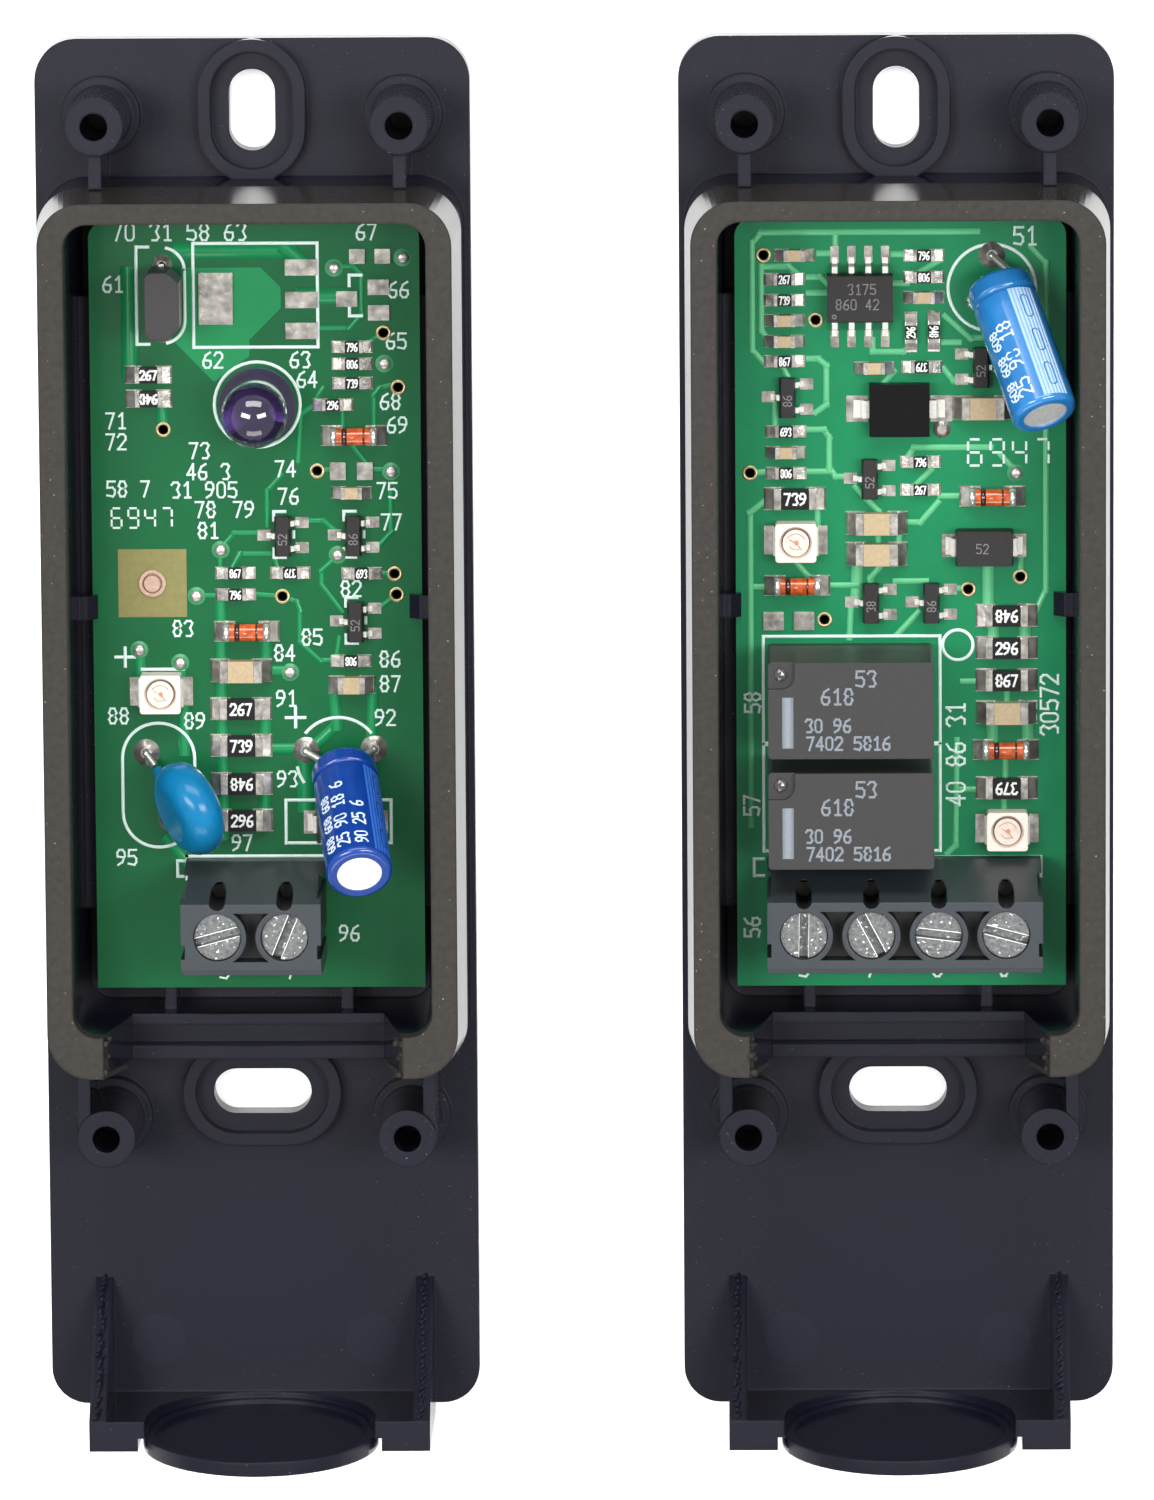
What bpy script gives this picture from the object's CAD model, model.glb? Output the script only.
import math
import random

import bmesh
import bpy
from mathutils import Matrix, Vector


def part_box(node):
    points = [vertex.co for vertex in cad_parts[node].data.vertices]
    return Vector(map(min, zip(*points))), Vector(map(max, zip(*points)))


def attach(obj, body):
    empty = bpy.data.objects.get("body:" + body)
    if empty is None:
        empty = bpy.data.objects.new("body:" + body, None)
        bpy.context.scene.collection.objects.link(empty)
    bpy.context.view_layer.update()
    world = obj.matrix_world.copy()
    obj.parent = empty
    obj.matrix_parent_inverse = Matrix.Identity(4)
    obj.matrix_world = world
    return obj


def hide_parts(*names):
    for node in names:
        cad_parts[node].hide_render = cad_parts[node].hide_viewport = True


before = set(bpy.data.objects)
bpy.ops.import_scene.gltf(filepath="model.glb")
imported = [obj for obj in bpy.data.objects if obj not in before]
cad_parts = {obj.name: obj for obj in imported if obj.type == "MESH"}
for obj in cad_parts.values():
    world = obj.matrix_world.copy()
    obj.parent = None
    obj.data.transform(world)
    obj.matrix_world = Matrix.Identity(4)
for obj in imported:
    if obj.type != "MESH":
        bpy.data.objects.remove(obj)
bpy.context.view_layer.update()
MM = 0.001

# Camera
# A long lens 0.84 m above the pair, leaning nine degrees towards the cable ends, so that both
# housings are seen almost from straight above. The three axes are the camera's own in the part's frame.
image_height_px = 1500
focal_px = 11100
sensor = 36
camera_place = Vector((0.01667, 0.13109, 0.84052))
camera_right = Vector((0.99977, -0.00653, -0.01895)).normalized()
camera_back = Vector((0.01974, 0.15559, 0.98762)).normalized()
camera_up = camera_back.cross(camera_right)
lens = bpy.data.cameras.new("Viewpoint")
lens.sensor_fit = "VERTICAL"
lens.sensor_height = sensor
lens.lens = sensor * focal_px / image_height_px
lens.clip_start = 0.05
viewpoint = bpy.data.objects.new("Viewpoint", lens)
viewpoint.matrix_world = (
    Matrix.Translation(camera_place)
    @ Matrix((camera_right, camera_up, camera_back)).transposed().to_4x4()
)
bpy.context.collection.objects.link(viewpoint)
bpy.context.scene.camera = viewpoint
bpy.context.scene.view_settings.view_transform = "Standard"

# Studio table
# A plain white sheet that shows as white, with the pair's own soft shadow kept on it.
table_half = 2.5
table_drop = 0.0001
four_corners = ((-1, -1), (1, -1), (1, 1), (-1, 1))
table_corners = [(x * table_half, y * table_half, -table_drop) for x, y in four_corners]
table_mesh = bpy.data.meshes.new("Studio_table")
table_mesh.from_pydata(table_corners, [], [(0, 1, 2, 3)])
table = bpy.data.objects.new("Studio_table", table_mesh)
bpy.context.collection.objects.link(table)
paper = bpy.data.materials.new("White paper")
paper.use_nodes = True
paper_nodes = paper.node_tree.nodes
paper_sheet = paper_nodes["Principled BSDF"]
paper_sheet.inputs["Base Color"].default_value = (0.9, 0.9, 0.9, 1)
paper_sheet.inputs["Roughness"].default_value = 0.9
paper_glow = paper_nodes.new("ShaderNodeEmission")
paper_glow.inputs["Strength"].default_value = 0.35
paper_sum = paper_nodes.new("ShaderNodeAddShader")
paper_mix = paper_nodes.new("ShaderNodeMixShader")
paper_path = paper_nodes.new("ShaderNodeLightPath")
paper_join = paper.node_tree.links.new
paper_join(paper_sheet.outputs[0], paper_sum.inputs[0])
paper_join(paper_glow.outputs[0], paper_sum.inputs[1])
paper_join(paper_path.outputs["Is Camera Ray"], paper_mix.inputs[0])
paper_join(paper_sheet.outputs[0], paper_mix.inputs[1])
paper_join(paper_sum.outputs[0], paper_mix.inputs[2])
paper_join(paper_mix.outputs[0], paper_nodes["Material Output"].inputs["Surface"])
table_mesh.materials.append(paper)

# Soft light
# Two tall soft boxes above the sides of the pair, one wide box beyond each end, and an even pale room.
room = bpy.data.worlds.new("Pale room")
room.use_nodes = True
room.node_tree.nodes["Background"].inputs["Color"].default_value = (1, 1, 1, 1)
room.node_tree.nodes["Background"].inputs["Strength"].default_value = 0.55
bpy.context.scene.world = room


def soft_box(name, place, width, height, power):
    """A rectangular lamp that looks at the middle of the pair."""
    light = bpy.data.lights.new(name, "AREA")
    light.shape = "RECTANGLE"
    light.size = width
    light.size_y = height
    light.energy = power
    lamp = bpy.data.objects.new(name, light)
    aim = (-Vector(place)).normalized().to_track_quat("-Z", "Y")
    lamp.matrix_world = Matrix.Translation(place) @ aim.to_matrix().to_4x4()
    bpy.context.collection.objects.link(lamp)


soft_box("Left box", (-0.42, 0.1, 0.8), 0.22, 0.5, 5.5)
soft_box("Right box", (0.42, 0.1, 0.8), 0.22, 0.5, 5.5)
soft_box("Head box", (0, 0.75, 0.65), 0.9, 0.35, 6.5)
soft_box("Foot box", (0, -0.75, 0.45), 0.7, 0.3, 2.2)


# Housings
# Each back plate with its tray is one moulding in very dark navy plastic. It has a fine spark-eroded
# grain, slightly worn edges that catch the light, and faint tool marks on the flat cable end.
def srgb(red, green, blue):
    """The shader's value of a colour given in steps from 0 to 255."""
    return tuple(((v / 255 + 0.055) / 1.055) ** 2.4 if v > 10 else v / 255 / 12.92
                 for v in (red, green, blue))


coat_roughness = 0.06
tone_from, tone_to = 0.3, 0.7
speck_edge = 0.05
relief_depth = 0.05 * MM
bevel_samples = 4


def surface(name, colour, roughness, metal=0.0, coat=0.0, mottle=0.12, grain=0.4, bump=0.0, edge=0.0,
            clear=0.0, specular=0.5, specks=None):
    """A finish whose tone and relief vary with a fine grain, sized in millimetres.

    specks holds the size of small pale spots, how rare they are, and their colour."""
    finish = bpy.data.materials.new(name)
    finish.use_nodes = True
    nodes = finish.node_tree.nodes
    join = finish.node_tree.links.new
    shader = nodes["Principled BSDF"]
    for socket, value in (("Roughness", roughness), ("Metallic", metal), ("Coat Weight", coat),
                          ("Coat Roughness", coat_roughness), ("Transmission Weight", clear),
                          ("Specular IOR Level", specular)):
        shader.inputs[socket].default_value = value
    place = nodes.new("ShaderNodeTexCoord")

    def noise(size, detail):
        texture = nodes.new("ShaderNodeTexNoise")
        texture.inputs["Scale"].default_value = 1 / (size * MM)
        texture.inputs["Detail"].default_value = detail
        join(place.outputs["Object"], texture.inputs["Vector"])
        return texture.outputs["Fac"]

    def ramp(value, positions, colours):
        scale = nodes.new("ShaderNodeValToRGB")
        for element, position, shade in zip(scale.color_ramp.elements, positions, colours):
            element.position = position
            element.color = (*shade, 1)
        join(value, scale.inputs["Fac"])
        return scale.outputs["Color"]

    grains = noise(grain, 3)
    shades = ([c * (1 - mottle) for c in colour], [min(1, c * (1 + mottle)) for c in colour])
    tone = ramp(grains, (tone_from, tone_to), shades)
    if specks:
        size, rarity, pale = specks
        spots = ramp(noise(size, 1), (rarity, rarity + speck_edge), ((0, 0, 0), (1, 1, 1)))
        blend = nodes.new("ShaderNodeMix")
        blend.data_type = "RGBA"
        join(spots, blend.inputs[0])
        join(tone, blend.inputs[6])
        blend.inputs[7].default_value = (*pale, 1)
        tone = blend.outputs[2]
    join(tone, shader.inputs["Base Color"])
    relief = None
    if edge:
        relief = nodes.new("ShaderNodeBevel")
        relief.samples = bevel_samples
        relief.inputs["Radius"].default_value = edge * MM
    if bump:
        height = nodes.new("ShaderNodeBump")
        height.inputs["Strength"].default_value = bump
        height.inputs["Distance"].default_value = relief_depth
        join(grains, height.inputs["Height"])
        if relief:
            join(relief.outputs["Normal"], height.inputs["Normal"])
        relief = height
    if relief:
        join(relief.outputs["Normal"], shader.inputs["Normal"])
    return finish


def paint(finish, *nodes):
    """Gives CAD nodes their finish."""
    for node in nodes:
        for material_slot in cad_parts[node].material_slots:
            material_slot.link = "OBJECT"
            material_slot.material = finish


housing_plastic = surface("Navy moulded plastic", srgb(16, 16, 29), 0.42, bump=0.35, grain=0.12,
                          edge=0.25, specular=0.2, specks=(0.2, 0.75, srgb(84, 86, 100)))
wall_plastic = surface("Navy plastic on drafted walls", srgb(16, 16, 28), 0.14, bump=0.08, grain=0.4,
                       edge=0.25, specular=0.5)
wall_steepness = 0.35


def new_piece(name, mesh, slot, body="base", replaced=None):
    """A piece of the scene that rides on a body and may stand in for a CAD node."""
    piece = bpy.data.objects.new(name, mesh)
    bpy.context.collection.objects.link(piece)
    if replaced:
        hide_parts(replaced)
    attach(piece, body)
    return piece


def solids(node):
    """Lowest corner, highest corner and faces of each separate solid in a CAD node."""
    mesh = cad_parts[node].data
    corner_ids = {}
    leader = []

    def find(i):
        while leader[i] != i:
            leader[i] = leader[leader[i]]
            i = leader[i]
        return i

    first_corner = []
    for face in mesh.polygons:
        ids = []
        for v in face.vertices:
            key = tuple(round(c * 1e7) for c in mesh.vertices[v].co)
            if key not in corner_ids:
                corner_ids[key] = len(leader)
                leader.append(len(leader))
            ids.append(corner_ids[key])
        for other in ids[1:]:
            leader[find(other)] = find(ids[0])
        first_corner.append(ids[0])
    groups = {}
    for face, corner in zip(mesh.polygons, first_corner):
        groups.setdefault(find(corner), []).append(face.index)
    found = []
    for faces in groups.values():
        corners = [mesh.vertices[v].co for f in faces for v in mesh.polygons[f].vertices]
        low = Vector([min(c[i] for c in corners) for i in range(3)])
        high = Vector([max(c[i] for c in corners) for i in range(3)])
        found.append((low, high, faces))
    return sorted(found, key=lambda s: (round(-s[1].y, 5), round(s[0].x, 5)))


def split_finishes(node, choose, finishes, slot):
    """A copy of a node whose faces get the finish that choose(face, solid's middle, solid's size) picks."""
    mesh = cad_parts[node].data.copy()
    mesh.materials.clear()
    for finish in finishes:
        mesh.materials.append(finish)
    for low, high, faces in solids(node):
        for f in faces:
            face = mesh.polygons[f]
            face.material_index = choose(face, (low + high) / 2, high - low)
    new_piece(node + "_dressed", mesh, slot, replaced=node)


for unit in ("tx", "rx"):
    split_finishes(unit + "_housing", lambda face, centre, size: int(abs(face.normal.z) < wall_steepness),
                   (housing_plastic, wall_plastic), "housing_plastic")


def node_tree(name, inputs, output, steps, links):
    """A node tree with named inputs and one output.

    steps holds the label, kind, settings and fixed inputs of each node.
    links holds the label and socket at both ends of each join."""
    tree = bpy.data.node_groups.new(name, "GeometryNodeTree")
    for label, kind in inputs:
        tree.interface.new_socket(label, in_out="INPUT", socket_type="NodeSocket" + kind)
    tree.interface.new_socket(output, in_out="OUTPUT", socket_type="NodeSocketGeometry")
    nodes = {"given": tree.nodes.new("NodeGroupInput"), "result": tree.nodes.new("NodeGroupOutput")}
    for label, kind, settings, values in steps:
        nodes[label] = tree.nodes.new("GeometryNode" + kind)
        for setting, value in settings.items():
            setattr(nodes[label], setting, value)
        for socket, value in values.items():
            nodes[label].inputs[socket].default_value = value
    for source, outlet, target, inlet in links:
        tree.links.new(nodes[source].outputs[outlet], nodes[target].inputs[inlet])
    return tree


# This tree turns the edges of a mesh into flat raised lines
line_tree = node_tree(
    "Printed line",
    (("Route", "Geometry"), ("Width", "Float"), ("Thickness", "Float"), ("Ink", "Material")),
    "Line",
    (
        ("route", "MeshToCurve", {}, {}),
        ("upright", "SetCurveNormal", {"mode": "Z_UP"}, {}),
        ("section", "CurvePrimitiveQuadrilateral", {}, {}),
        ("sweep", "CurveToMesh", {}, {"Fill Caps": True}),
        ("real", "RealizeInstances", {}, {}),
        ("coat", "SetMaterial", {}, {}),
    ),
    (
        ("given", "Route", "route", "Mesh"),
        ("route", "Curve", "upright", "Curve"),
        ("given", "Width", "section", "Width"),
        ("given", "Thickness", "section", "Height"),
        ("upright", "Curve", "sweep", "Curve"),
        ("section", "Curve", "sweep", "Profile Curve"),
        ("sweep", "Mesh", "real", "Geometry"),
        ("real", "Geometry", "coat", "Geometry"),
        ("given", "Ink", "coat", "Material"),
        ("coat", "Geometry", "result", "Line"),
    ),
)


def made_by(tree, mesh, **values):
    """Runs a node tree on a mesh and returns the plain mesh that comes out."""
    holder = bpy.data.objects.new("holder", mesh)
    bpy.context.collection.objects.link(holder)
    modifier = holder.modifiers.new("Maker", "NODES")
    modifier.node_group = tree
    names = {item.name: item.identifier for item in tree.interface.items_tree if item.in_out == "INPUT"}
    for name, value in values.items():
        modifier[names[name]] = value
    holder.update_tag()
    bpy.context.view_layer.update()
    graph = bpy.context.evaluated_depsgraph_get()
    made = bpy.data.meshes.new_from_object(
        holder.evaluated_get(graph), preserve_all_data_layers=True, depsgraph=graph)
    holder.modifiers.remove(modifier)
    bpy.data.objects.remove(holder)
    return made


longest_bent_step = 0.25
fewest_run_points = 9
crossing_share = 0.15
same_place = 1e-4


def cut_short(start, end):
    """A straight stroke cut into short steps, so that it can bend round a form."""
    steps = max(1, math.ceil((end - start).length / longest_bent_step))
    return [start.lerp(end, i / steps) for i in range(steps + 1)]


def printed_lines(name, routes, width, thickness, ink, put, slot, body="base", bend=False):
    """Raised lines along routes in millimetres; put() turns a flat place into one on the part.

    A route of many points is drawn as one run, and the legs of a short one as square-ended bars."""
    points = []
    edges = []
    for route in routes:
        flat = [Vector((x, y, 0)) for x, y in route]
        runs = [flat]
        if len(flat) < fewest_run_points:
            runs = []
            for start, end in zip(flat, flat[1:]):
                more = (end - start).normalized() * width / 2
                runs.append(cut_short(start - more, end + more) if bend else [start - more, end + more])
        for order, run in enumerate(runs):
            # Strokes that cross lie a hair apart in height, so that no two of their faces share a plane
            step = crossing_share * thickness * (order % 3 + 3 * (len(edges) % 2)) / 3
            run = [Vector((p.x, p.y, step)) for p in run]
            first = len(points)
            closed = (run[0] - run[-1]).length < same_place
            if closed:
                run = run[:-1]
            points += run
            edges += [(first + i, first + i + 1) for i in range(len(run) - 1)]
            if closed:
                edges.append((first + len(run) - 1, first))
    mesh = bpy.data.meshes.new(name + "_route")
    mesh.from_pydata([tuple(p) for p in points], edges, [])
    made = made_by(line_tree, mesh, Width=width, Thickness=thickness, Ink=ink)
    for vertex in made.vertices:
        vertex.co = put(*vertex.co)
    made.name = name
    new_piece(name, made, slot, body)


def turned(x, y, degrees):
    """A flat place turned about the middle."""
    c, s = math.cos(math.radians(degrees)), math.sin(math.radians(degrees))
    return x * c - y * s, x * s + y * c


def ring(x, y, radius, start=0, sweep=360, steps=36):
    """Places along an arc about x, y. Its start and sweep are in degrees."""
    arc = [turned(radius, 0, start + sweep * i / steps) for i in range(steps + 1)]
    return [(x + u, y + v) for u, v in arc]


def middle(node):
    low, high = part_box(node)
    return (low + high) / 2


plate_front = 2.4 * MM
plate_head_to_middle = 52.8 * MM


def above(x, y, z):
    """Places given in millimetres from one place on the part."""
    return lambda u, v, w: Vector((x + u * MM, y + v * MM, z + w * MM))


def on_plate(unit):
    """Places on a back plate, in millimetres from its middle and above its front."""
    low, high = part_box(unit + "_housing")
    return above((low.x + high.x) / 2, high.y - plate_head_to_middle, plate_front)


# This tree sets a form on every point, turned and sized by the point's own values
copies_tree = node_tree(
    "Placed copies",
    (("Places", "Geometry"), ("Form", "Object"), ("Finish", "Material")),
    "Copies",
    (
        ("form", "ObjectInfo", {}, {}),
        ("turn", "InputNamedAttribute", {"data_type": "FLOAT_VECTOR"}, {"Name": "turn"}),
        ("size", "InputNamedAttribute", {"data_type": "FLOAT_VECTOR"}, {"Name": "size"}),
        ("setter", "InstanceOnPoints", {}, {}),
        ("real", "RealizeInstances", {}, {}),
        ("coat", "SetMaterial", {}, {}),
    ),
    (
        ("given", "Places", "setter", "Points"),
        ("given", "Form", "form", "Object"),
        ("form", "Geometry", "setter", "Instance"),
        ("turn", "Attribute", "setter", "Rotation"),
        ("size", "Attribute", "setter", "Scale"),
        ("setter", "Instances", "real", "Geometry"),
        ("real", "Geometry", "coat", "Geometry"),
        ("given", "Finish", "coat", "Material"),
        ("coat", "Geometry", "result", "Copies"),
    ),
)


def placed_copies(name, form, places, finish, slot):
    """places holds (place, turn in radians about X Y Z, size along X Y Z), all in metres."""
    pattern = bpy.data.objects.new("pattern", form)
    bpy.context.collection.objects.link(pattern)
    mesh = bpy.data.meshes.new(name + "_places")
    mesh.from_pydata([tuple(p[0]) for p in places], [], [])
    for label, index in (("turn", 1), ("size", 2)):
        layer = mesh.attributes.new(label, "FLOAT_VECTOR", "POINT")
        for value, place in zip(layer.data, places):
            value.vector = place[index]
    made = made_by(copies_tree, mesh, Form=pattern, Finish=finish)
    bpy.data.objects.remove(pattern)
    made.name = name
    return new_piece(name, made, slot)


def mesh_of(name, shape):
    """The plain mesh of a worked shape."""
    mesh = bpy.data.meshes.new(name)
    shape.to_mesh(mesh)
    shape.free()
    return mesh


def lump_form(rough, seed):
    """A unit ball with an uneven skin."""
    shape = bmesh.new()
    bmesh.ops.create_icosphere(shape, subdivisions=2, radius=0.5)
    wander = random.Random(seed)
    for vertex in shape.verts:
        vertex.co *= 1 + rough * (wander.random() - 0.5)
    return mesh_of("lump_form", shape)


def field(name, outline, finish, put, thickness, slot):
    """A flat raised area with a plain outline."""
    count = len(outline)
    shape = bmesh.new()
    low = [shape.verts.new(put(x, y, 0)) for x, y in outline]
    high = [shape.verts.new(put(x, y, thickness)) for x, y in outline]
    shape.faces.new(high)
    shape.faces.new(low[::-1])
    for i in range(count):
        shape.faces.new((low[i], low[(i + 1) % count], high[(i + 1) % count], high[i]))
    bmesh.ops.recalc_face_normals(shape, faces=shape.faces[:])
    bmesh.ops.triangulate(shape, faces=shape.faces[:])
    mesh = mesh_of(name, shape)
    mesh.materials.append(finish)
    new_piece(name, mesh, slot)


mark_plastic = surface("Navy plastic at the tool marks", srgb(24, 24, 38), 0.36, grain=0.2, specular=0.2)
ghost_plastic = surface("Navy plastic at the ghost circle", srgb(18, 18, 31), 0.42, grain=0.2,
                        specular=0.2)
ghost_circle_d = 18.7
ghost_circle_place = (-0.1, -40.4)
ghost_circle_t = 0.01
ejector_mark_d = 4
ejector_mark_x, ejector_mark_y = 8.2, -47.8
ejector_mark_t = 0.015
leg_slope_start, leg_slope_end = -42.8, -51.9
leg_height = 11
leg_middle = 12.35
burr_seeds = {"tx": 5, "rx": 6}
burrs_a_leg = 26
burr_least, burr_more = 0.5, 0.7
burr_section = (0.3 * MM, 0.28 * MM)
burr_stray = 0.25
burr_lift = 0.05
burr_roll, burr_pitch = 0.4, 0.9
for unit in ("tx", "rx"):
    put = on_plate(unit)
    ghost_circle = ring(*ghost_circle_place, ghost_circle_d / 2, steps=72)[:-1]
    field(unit + "_ghost_circle", ghost_circle, ghost_plastic, put, ghost_circle_t, "housing_plastic")
    for side in (-1, 1):
        mark = ring(side * ejector_mark_x, ejector_mark_y, ejector_mark_d / 2)[:-1]
        field(f"{unit}_ejector_mark_{'ab'[side > 0]}", mark, mark_plastic, put, ejector_mark_t,
              "housing_plastic")
    # The sloping tops of the legs came off the tool with a ragged line of small burrs
    wander = random.Random(burr_seeds[unit])
    burrs = []
    for side in (-1, 1):
        for step in range(burrs_a_leg):
            along = step / burrs_a_leg
            size = (burr_least + burr_more * wander.random()) * MM
            burrs.append((
                put(side * leg_middle + burr_stray * (wander.random() - 0.5),
                    leg_slope_start + (leg_slope_end - leg_slope_start) * along,
                    leg_height * along + burr_lift),
                (burr_roll * wander.random(), burr_pitch, wander.random()),
                (size, *burr_section),
            ))
    placed_copies(unit + "_leg_burrs", lump_form(rough=0.5, seed=3), burrs, housing_plastic,
                  "housing_plastic")

# Gaskets
# A soft grey-brown channel pressed over the rim of each tray, with smooth outer sides. Its two ends
# beside the cable sill were torn rather than cut, so small crumbs of it stand up there.
gasket_rubber = surface("Soft gasket", srgb(40, 37, 33), 0.62, bump=0.5, mottle=0.22, grain=0.5, edge=0.35,
                        specular=0.3, specks=(0.3, 0.74, srgb(120, 116, 108)))
gasket_side = surface("Smooth side of the gasket", srgb(40, 37, 33), 0.16, mottle=0.03, grain=0.5,
                      specular=0.6)


def on_outer_side(face, centre, size):
    """Picks the steep faces of a gasket that look away from the tray."""
    away = face.center - centre
    return int(abs(face.normal.z) < wall_steepness and face.normal.xy.dot(away.xy) > 0)


for unit in ("tx", "rx"):
    split_finishes(unit + "_gasket", on_outer_side, (gasket_rubber, gasket_side), "gasket_rubber")
gasket_end_x = 11.4
gasket_end_y = (-24.6, -23.4, -22.2)
gasket_top = 15
crumb_seeds = {"tx": 11, "rx": 12}
crumb_rows = 3
first_row_drop = 0.35
row_drop = 0.5
crumb_stray_x, crumb_stray_y = 0.5, 0.6
crumb_least, crumb_more = 0.5, 0.5
crumb_shares = (1, 0.6, 0.7)
for unit in ("tx", "rx"):
    put = on_plate(unit)
    wander = random.Random(crumb_seeds[unit])
    crumbs = []
    for side in (-1, 1):
        for y in gasket_end_y:
            for row in range(crumb_rows):
                size = (crumb_least + crumb_more * wander.random()) * MM
                crumbs.append((
                    put(side * (gasket_end_x - crumb_stray_x * wander.random()),
                        y + crumb_stray_y * wander.random(), gasket_top - first_row_drop - row_drop * row),
                    (wander.random() * 3, wander.random() * 3, 0),
                    tuple(size * share for share in crumb_shares),
                ))
    placed_copies(unit + "_gasket_crumbs", lump_form(rough=0.6, seed=4), crumbs, gasket_rubber,
                  "gasket_rubber")

# Circuit boards
# Glass-fibre boards under a glossy green mask. Copper tracks and fields show through it in a paler
# green, a pale blue-white print outlines the parts, and plated holes have bare rings.
tx_mask = surface("Green mask transmitter", srgb(6, 84, 46), 0.24, mottle=0.05, grain=3, bump=0.04,
                  specular=0.3)
rx_mask = surface("Green mask receiver", srgb(12, 112, 70), 0.24, mottle=0.05, grain=3, bump=0.04,
                  specular=0.3)
tx_track = surface("Masked copper transmitter", srgb(24, 122, 72), 0.22, mottle=0.05, grain=3, specular=0.3)
rx_track = surface("Masked copper receiver", srgb(84, 166, 116), 0.22, mottle=0.05, grain=3, specular=0.3)
board_print = surface("Board print", srgb(196, 216, 208), 0.55, mottle=0.06, grain=0.2)
bare_ring = surface("Plated ring", srgb(176, 160, 118), 0.35, metal=0.7, mottle=0.15, grain=0.2)
dark_hole = surface("Open hole", srgb(10, 10, 9), 0.9, mottle=0.05)
board_edge_band = 0.5 * MM
hole_steepness = 0.3


def in_a_hole(face, centre, size):
    """Picks the walls of a board's holes, which look dark from above."""
    off = face.center - centre
    inside = abs(off.x) < size.x / 2 - board_edge_band and abs(off.y) < size.y / 2 - board_edge_band
    return int(inside and abs(face.normal.z) < hole_steepness)


for unit, mask in (("tx", tx_mask), ("rx", rx_mask)):
    split_finishes(unit + "_board", in_a_hole, (mask, dark_hole), "board_laminate")


def on_board(unit, lift=0.0):
    """Places on a board's front, in millimetres from its middle."""
    low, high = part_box(unit + "_board")
    return above((low.x + high.x) / 2, (low.y + high.y) / 2, high.z + lift * MM)


track_w = 0.4
rx_track_w = 0.46
wide_track_w = 0.85
broad_track_w = 1.2
track_t = 0.03
tx_tracks = [
    [(6.2, 25.9), (7.5, 25.9), (8.1, 25.3), (8.1, 22.2), (7.2, 21.2), (4.7, 21.2)],
    [(9.6, 21.0), (8.4, 20.0)], [(10.1, 16.8), (9.4, 16.6), (9.0, 16.1), (9.0, 13.6)],
    [(5.1, 16.6), (4.5, 15.7)], [(4.4, 15.3), (3.4, 14.6), (3.2, 11.1)],
    [(6.6, 14.9), (6.6, 13.2), (8.2, 11.1)], [(4.5, 10.4), (5.5, 10.4)], [(8.8, 10.4), (10.1, 10.4)],
    [(10.2, 8.6), (10.2, 5.6), (9.1, 4.4)], [(1.9, 10.0), (0.8, 8.8), (0.8, 6.2)],
    [(4.0, 6.5), (5.1, 6.5), (6.0, 5.7)], [(-2.7, 4.5), (-1.7, 5.6), (0.2, 5.6)],
    [(-2.8, 4.3), (-2.8, 2.9)], [(-1.8, 3.1), (-1.3, 4.0), (1.3, 4.0), (1.5, 3.1)],
    [(-4.6, 0.8), (-3.2, 0.8)], [(-0.2, 0.9), (1.9, 0.8)],
    [(1.9, 0.8), (3.0, 0.3), (3.2, -0.3), (3.2, -2.8), (4.7, -4.2), (5.6, -4.2)],
    [(6.3, 4.0), (4.9, 2.7), (4.9, 1.6), (6.4, -0.4)], [(9.3, 2.5), (10.3, 2.5)],
    [(10.6, 1.1), (9.5, 0.0)], [(6.2, -2.5), (6.0, -3.7)],
]
tx_wide_tracks = [
    [(-7.1, 15.2), (-7.1, 13.6)], [(-2.8, 0.4), (-2.8, -17.6)], [(0.6, -2.8), (0.6, -4.2)],
    [(0.5, -5.0), (2.4, -5.0)], [(0.5, -8.4), (0.5, -10.3)], [(0.4, -14.2), (0.4, -15.9)],
    [(0.8, -11.0), (3.3, -11.0)], [(5.7, -5.9), (5.9, -9.2), (4.3, -10.7)], [(8.7, -6.7), (8.6, -10.0)],
    [(-9.0, -3.4), (-9.0, -5.5)], [(-5.9, -4.5), (-5.9, -5.3)], [(-5.7, -7.2), (-5.7, -11.1)],
    [(-7.0, -18.0), (-5.7, -19.5)],
]
tx_broad_tracks = [
    [(-5.5, 27.1), (2.6, 27.1), (3.6, 26.2)], [(-9.5, 25.3), (-9.5, 18.0)], [(3.7, 23.6), (6.6, 23.6)],
    [(3.5, -11.5), (3.5, -15.3)],
]
tx_field = [
    (-5.5, 25.8), (0.5, 25.8), (2.0, 24.3), (2.0, 22.7), (-0.4, 20.3), (-0.4, 19.1), (-3.1, 17.1),
    (-6.0, 20.1), (-5.2, 22.2),
]
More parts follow.
